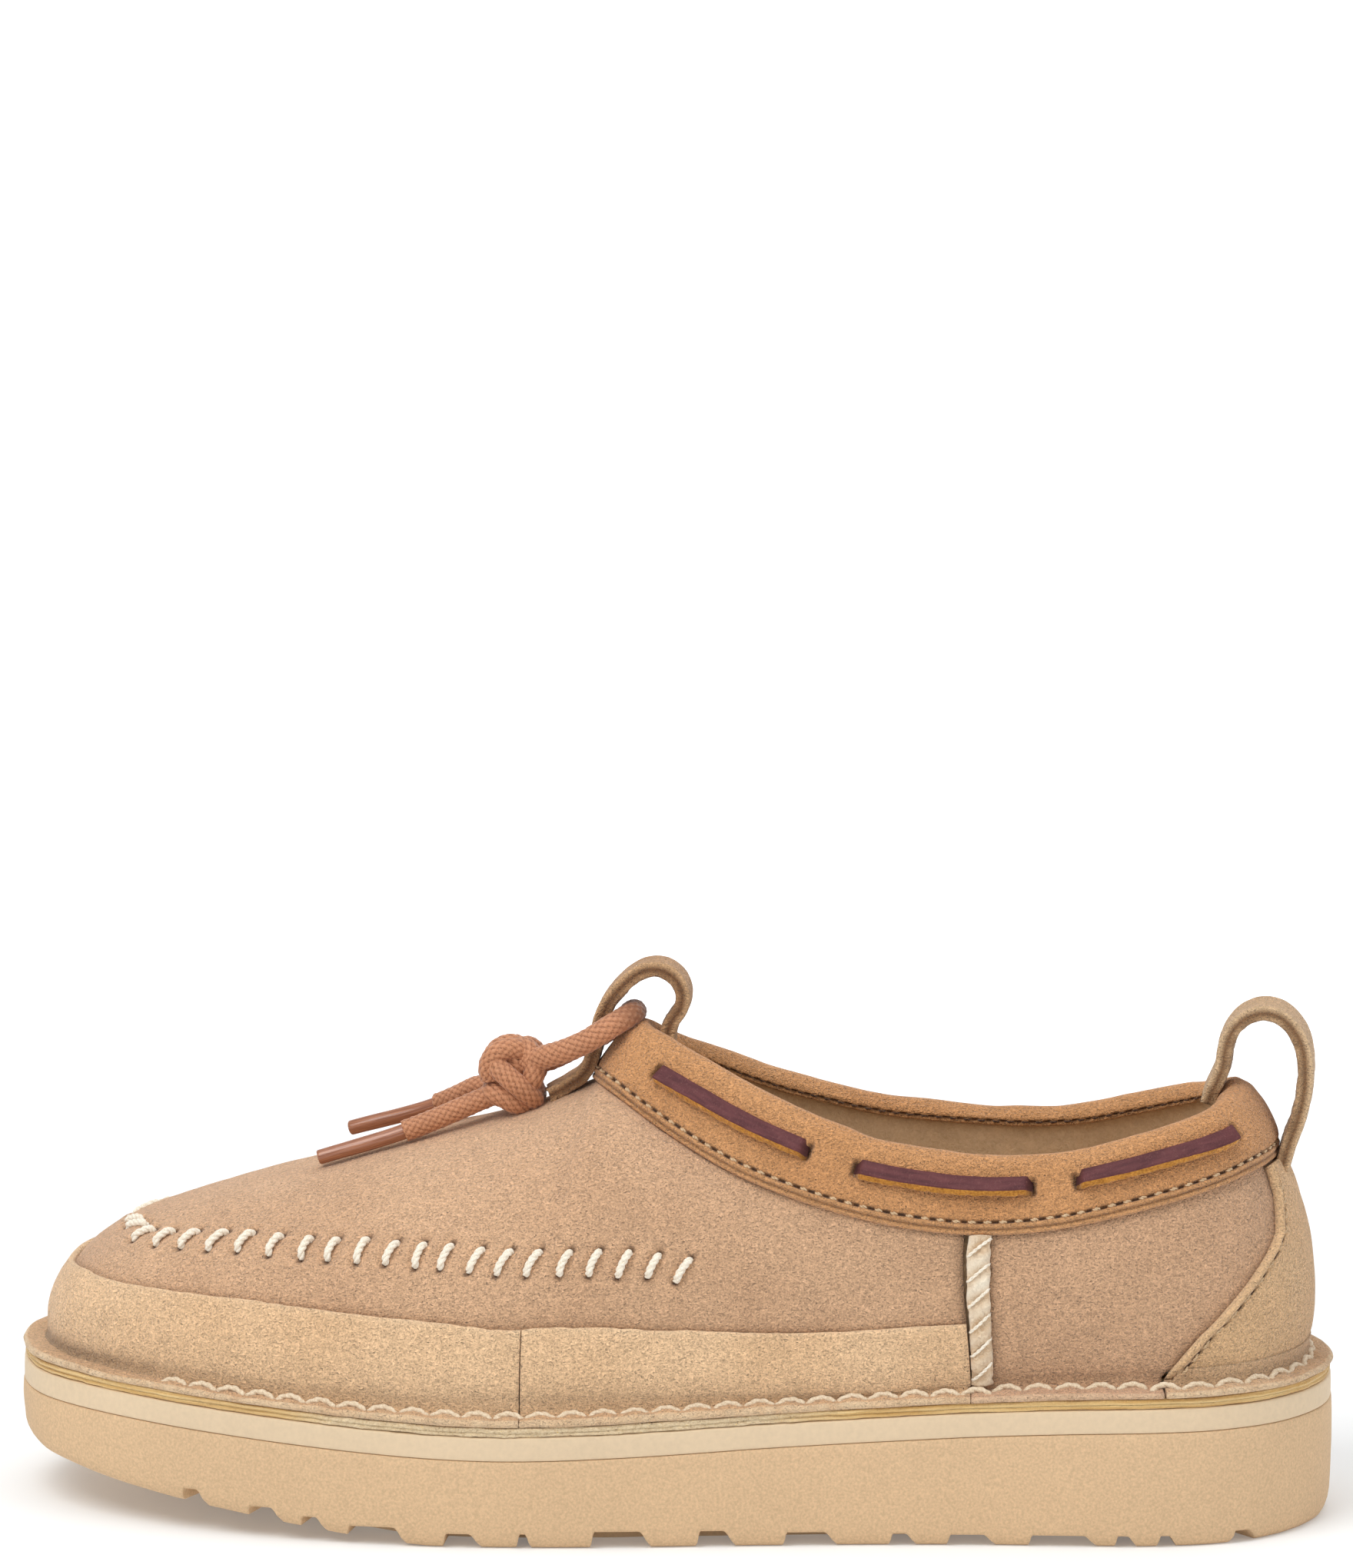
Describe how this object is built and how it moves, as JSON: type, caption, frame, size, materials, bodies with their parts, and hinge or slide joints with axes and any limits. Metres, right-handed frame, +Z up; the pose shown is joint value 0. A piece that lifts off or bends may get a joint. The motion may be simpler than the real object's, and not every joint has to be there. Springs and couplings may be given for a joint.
{
  "type": "moccasin",
  "caption": "Left slip-on suede moccasin shoe on a thick lugged foam sole, with a laced collar, pull loops front and back, and a knotted toggle cord.",
  "frame": {"origin": "on the ground under the middle of the sole, on the flat underside of the middle lugs", "axes": "+X towards the heel, -Y towards the outer (lateral) side of this left shoe, +Z up"},
  "size_m": [0.2792, 0.1056, 0.1151],
  "materials": {
    "outsole_foam": "fine-grained moulded foam, matt",
    "strip_foam": "smooth matt foam",
    "sheepskin": "raw fuzzy sheepskin edge",
    "board": "pressed fibre board",
    "footbed_fleece": "short sheepskin pile",
    "suede_tan": "napped suede, matt",
    "suede_light": "napped suede, matt",
    "suede_brown": "napped suede, matt",
    "thread": "waxed twisted thread",
    "stiffener": "thermoformed fibre sheet",
    "lining_felt": "brushed felt",
    "thong_leather": "smooth waxed leather with a raw edge",
    "cord_braid": "braided cord",
    "aglet": "clear brown heat-shrunk tube"
  },
  "bodies": {
    "shoe": {"outsole": "outsole_foam", "midsole_strip": "strip_foam", "welt_layer": "sheepskin", "insole_board": "board", "footbed": "footbed_fleece", "vamp": "suede_tan", "quarter_lateral": "suede_tan", "quarter_medial": "suede_tan", "toe_rand": "suede_light", "rand_lateral": "suede_light", "rand_medial": "suede_light", "heel_counter_cover": "suede_light", "side_seam_lateral": "thread", "side_seam_medial": "thread", "flange_thread": "thread", "vamp_thread": "thread", "toe_puff": "stiffener", "heel_stiffener": "stiffener", "lining_vamp": "lining_felt", "lining_quarter": "lining_felt", "collar_band": "suede_brown", "front_loop_tab": "suede_brown", "thong": "thong_leather"},
    "front_loop": {"front_pull_loop": "suede_brown"},
    "heel_loop": {"heel_pull_loop": "suede_light"},
    "cord": {"toggle_cord": "cord_braid"},
    "tail_near": {"cord_tail_near": "cord_braid", "aglet_near": "aglet"},
    "tail_far": {"cord_tail_far": "cord_braid", "aglet_far": "aglet"}
  },
  "joints": [
    {"name": "front_loop_flex", "type": "hinge", "parent": "shoe", "child": "front_loop", "pos_m": [-0.0213, 0, 0.0901], "axis": [0, 1, 0], "range_deg": [-4, 0]},
    {"name": "heel_loop_flex", "type": "hinge", "parent": "shoe", "child": "heel_loop", "pos_m": [0.131, 0, 0.08], "axis": [0, 1, 0], "range_deg": [-7, 5]},
    {"name": "cord_swing", "type": "hinge", "parent": "shoe", "child": "cord", "pos_m": [-0.0086, 0, 0.1059], "axis": [0, 1, 0], "range_deg": [0, 42]},
    {"name": "near_tail_swing", "type": "hinge", "parent": "cord", "child": "tail_near", "pos_m": [-0.043, -0.0029, 0.0863], "axis": [0, 1, 0], "range_deg": [0, 30]},
    {"name": "far_tail_swing", "type": "hinge", "parent": "cord", "child": "tail_far", "pos_m": [-0.0428, 0.0035, 0.0882], "axis": [0, 1, 0], "range_deg": [0, 30]}
  ]
}
